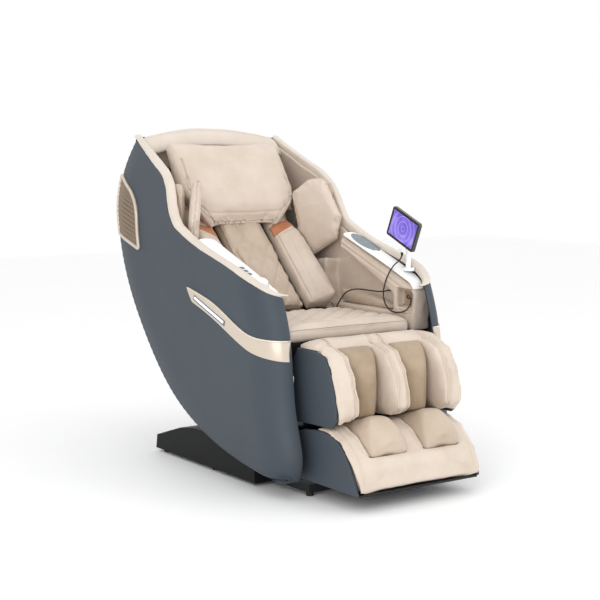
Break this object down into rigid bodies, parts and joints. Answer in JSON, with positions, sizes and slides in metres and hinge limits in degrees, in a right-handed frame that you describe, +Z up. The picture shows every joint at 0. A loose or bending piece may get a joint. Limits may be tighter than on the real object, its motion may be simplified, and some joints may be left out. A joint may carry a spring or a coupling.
{
  "type": "massage chair",
  "caption": "Reclining shiatsu massage chair with wrap-around side shells, hood, quilted seat and back, calf and foot rest wells, arm controls and a swivelling tablet.",
  "frame": {"origin": "on the floor, under the middle of the chair's box", "axes": "+Z up, -Y towards the front (the feet), +X towards the sitter's left"},
  "size_m": [0.75, 1.3325, 1.18],
  "materials": {
    "shell_paint": "satin, moulded and painted",
    "cream_leather": "soft, fine grain",
    "tan_leather": "soft",
    "trim_cream": "fine grain",
    "white_gloss": "gloss",
    "champagne": "satin metallic",
    "led_white": "diffuser",
    "bronze": "satin metallic",
    "black_plastic": "fine texture",
    "black_steel": "powder coat",
    "steel": "brushed",
    "rubber": "matt",
    "cord": "smooth",
    "bezel": "gloss",
    "screen": "gloss",
    "touch": "gloss",
    "grey_plastic": "fine texture",
    "roller": "satin"
  },
  "bodies": {
    "power_switch": {"power_switch": "black_plastic"},
    "recline_actuator": {"recline_actuator": "black_plastic"},
    "recline_rod": {"recline_rod": "steel"},
    "leg_actuator": {"leg_actuator": "black_plastic"},
    "leg_rod": {"leg_rod": "steel"},
    "leg_rest": {"leg_frame": "black_steel", "calf_pads": "cream_leather", "calf_side_panels": "shell_paint"},
    "foot_rest": {"foot_base_and_rods": "steel", "foot_cushion": "cream_leather", "foot_side_panels": "shell_paint"},
    "carriage": {"massage_carriage": "black_steel", "massage_motor": "black_plastic"},
    "guide_lower": {"guide_wheels_lower": "roller"},
    "guide_upper": {"guide_wheels_upper": "roller"},
    "roller_arms": {"roller_arms": "black_plastic"},
    "rollers_lower": {"massage_rollers_lower": "roller"},
    "rollers_upper": {"massage_rollers_upper": "roller"},
    "button_1": {"arm_button_1": "grey_plastic"},
    "button_2": {"arm_button_2": "grey_plastic"},
    "button_3": {"arm_button_3": "grey_plastic"},
    "dial": {"control_dial": "champagne"},
    "tablet_bracket": {"tablet_bracket": "black_plastic"},
    "tablet": {"tablet": "bezel", "tablet_screen": "screen"},
    "base": {"base_cover": "black_plastic", "base_frame": "black_steel", "levelling_feet": "rubber", "mains_inlet": "black_plastic"},
    "recliner": {"accent_strips": "champagne", "air_pump_and_valves": "grey_plastic", "arm_body_left": "cream_leather", "arm_body_right": "cream_leather", "arm_panel_left": "white_gloss", "arm_panel_right": "white_gloss", "back_bolsters": "cream_leather", "back_cover": "shell_paint", "back_cushion": "cream_leather", "control_box": "grey_plastic", "cord_sockets": "rubber", "forearm_pads": "cream_leather", "head_recess_lining": "trim_cream", "headrest_pillow": "cream_leather", "hood": "trim_cream", "led_bars": "led_white", "recline_frame": "black_steel", "roller_tracks": "steel", "seat_cord": "cord", "seat_cushion": "cream_leather", "seat_pan": "black_plastic", "shell_left": "shell_paint", "shell_right": "shell_paint", "shoulder_pads": "cream_leather", "side_trims": "trim_cream", "speaker_grilles": "bronze", "speakers": "black_plastic", "tablet_cord": "cord", "tablet_stand": "white_gloss", "tan_inserts": "tan_leather", "touch_panel": "touch"}
  },
  "joints": [
    {"name": "recline", "type": "hinge", "parent": "base", "child": "recliner", "pos_m": [0, 0.1, 0.32], "axis": [-1, 0, 0], "range_deg": [0, 28]},
    {"name": "recline_actuator_pivot", "type": "hinge", "parent": "base", "child": "recline_actuator", "pos_m": [0.06, -0.12, 0.07], "axis": [-1, 0, 0], "range_deg": [0, 13.24]},
    {"name": "recline_rod_slide", "type": "slide", "parent": "recline_actuator", "child": "recline_rod", "axis": [0, -0.1935, 0.9811], "range_m": [0, 0.1192]},
    {"name": "leg_rest_lift", "type": "hinge", "parent": "recliner", "child": "leg_rest", "pos_m": [0, -0.322, 0.455], "axis": [-1, 0, 0], "range_deg": [0, 80]},
    {"name": "leg_actuator_pivot", "type": "hinge", "parent": "recliner", "child": "leg_actuator", "pos_m": [-0.06, 0, 0.36], "axis": [1, 0, 0], "range_deg": [0, 2.38]},
    {"name": "leg_rod_slide", "type": "slide", "parent": "leg_actuator", "child": "leg_rod", "axis": [0, -0.9955, 0.095], "range_m": [0, 0.1201]},
    {"name": "foot_extension", "type": "slide", "parent": "leg_rest", "child": "foot_rest", "axis": [0, 0, -1], "range_m": [0, 0.116]},
    {"name": "carriage_travel", "type": "slide", "parent": "recliner", "child": "carriage", "axis": [0, 0.7071, 0.7071], "range_m": [-0.13, 0.19]},
    {"name": "guide_lower_spin", "type": "hinge", "parent": "carriage", "child": "guide_lower", "pos_m": [0, 0.30463, 0.58596], "axis": [1, 0, 0], "continuous": true},
    {"name": "guide_upper_spin", "type": "hinge", "parent": "carriage", "child": "guide_upper", "pos_m": [0, 0.39231, 0.67364], "axis": [1, 0, 0], "continuous": true},
    {"name": "roller_arm_rock", "type": "hinge", "parent": "carriage", "child": "roller_arms", "pos_m": [0, 0.35766, 0.62061], "axis": [1, 0, 0], "range_deg": [-5, 5]},
    {"name": "rollers_lower_spin", "type": "hinge", "parent": "roller_arms", "child": "rollers_lower", "pos_m": [0, 0.31453, 0.61283], "axis": [1, 0, 0], "continuous": true},
    {"name": "rollers_upper_spin", "type": "hinge", "parent": "roller_arms", "child": "rollers_upper", "pos_m": [0, 0.36544, 0.66374], "axis": [1, 0, 0], "continuous": true},
    {"name": "power_rocker", "type": "hinge", "parent": "base", "child": "power_switch", "pos_m": [-0.181, 0.471, 0.032], "axis": [1, 0, 0], "range_deg": [-7, 7]},
    {"name": "button_1_press", "type": "slide", "parent": "recliner", "child": "button_1", "axis": [0, 0.3463, -0.9381], "range_m": [0, 0.0018], "stiffness_N_per_m": 300, "springref_m": -0.0005},
    {"name": "button_2_press", "type": "slide", "parent": "recliner", "child": "button_2", "axis": [0, 0.3463, -0.9381], "range_m": [0, 0.0018], "stiffness_N_per_m": 300, "springref_m": -0.0005},
    {"name": "button_3_press", "type": "slide", "parent": "recliner", "child": "button_3", "axis": [0, 0.3463, -0.9381], "range_m": [0, 0.0018], "stiffness_N_per_m": 300, "springref_m": -0.0005},
    {"name": "dial_turn", "type": "hinge", "parent": "recliner", "child": "dial", "pos_m": [-0.312, -0.212, 0.6663], "axis": [0, -0.3742, 0.9274], "continuous": true},
    {"name": "tablet_swivel", "type": "hinge", "parent": "recliner", "child": "tablet_bracket", "pos_m": [0.322, -0.186, 0.78], "axis": [0, 0, 1], "range_deg": [-40, 40]},
    {"name": "tablet_tilt", "type": "hinge", "parent": "tablet_bracket", "child": "tablet", "pos_m": [0.311, -0.188, 0.826], "axis": [0, 0.9205, 0.3907], "range_deg": [-5, 15]}
  ],
  "couplings": [
    {"joint": "recline_actuator_pivot", "follows": "recline", "ratio": 0.45494},
    {"joint": "recline_rod_slide", "follows": "recline", "m_per_rad": 0.23983},
    {"joint": "leg_actuator_pivot", "follows": "leg_rest_lift", "ratio": 0.023478},
    {"joint": "leg_rod_slide", "follows": "leg_rest_lift", "m_per_rad": 0.08456},
    {"joint": "foot_extension", "follows": "leg_rest_lift", "m_per_rad": 0.082363}
  ]
}
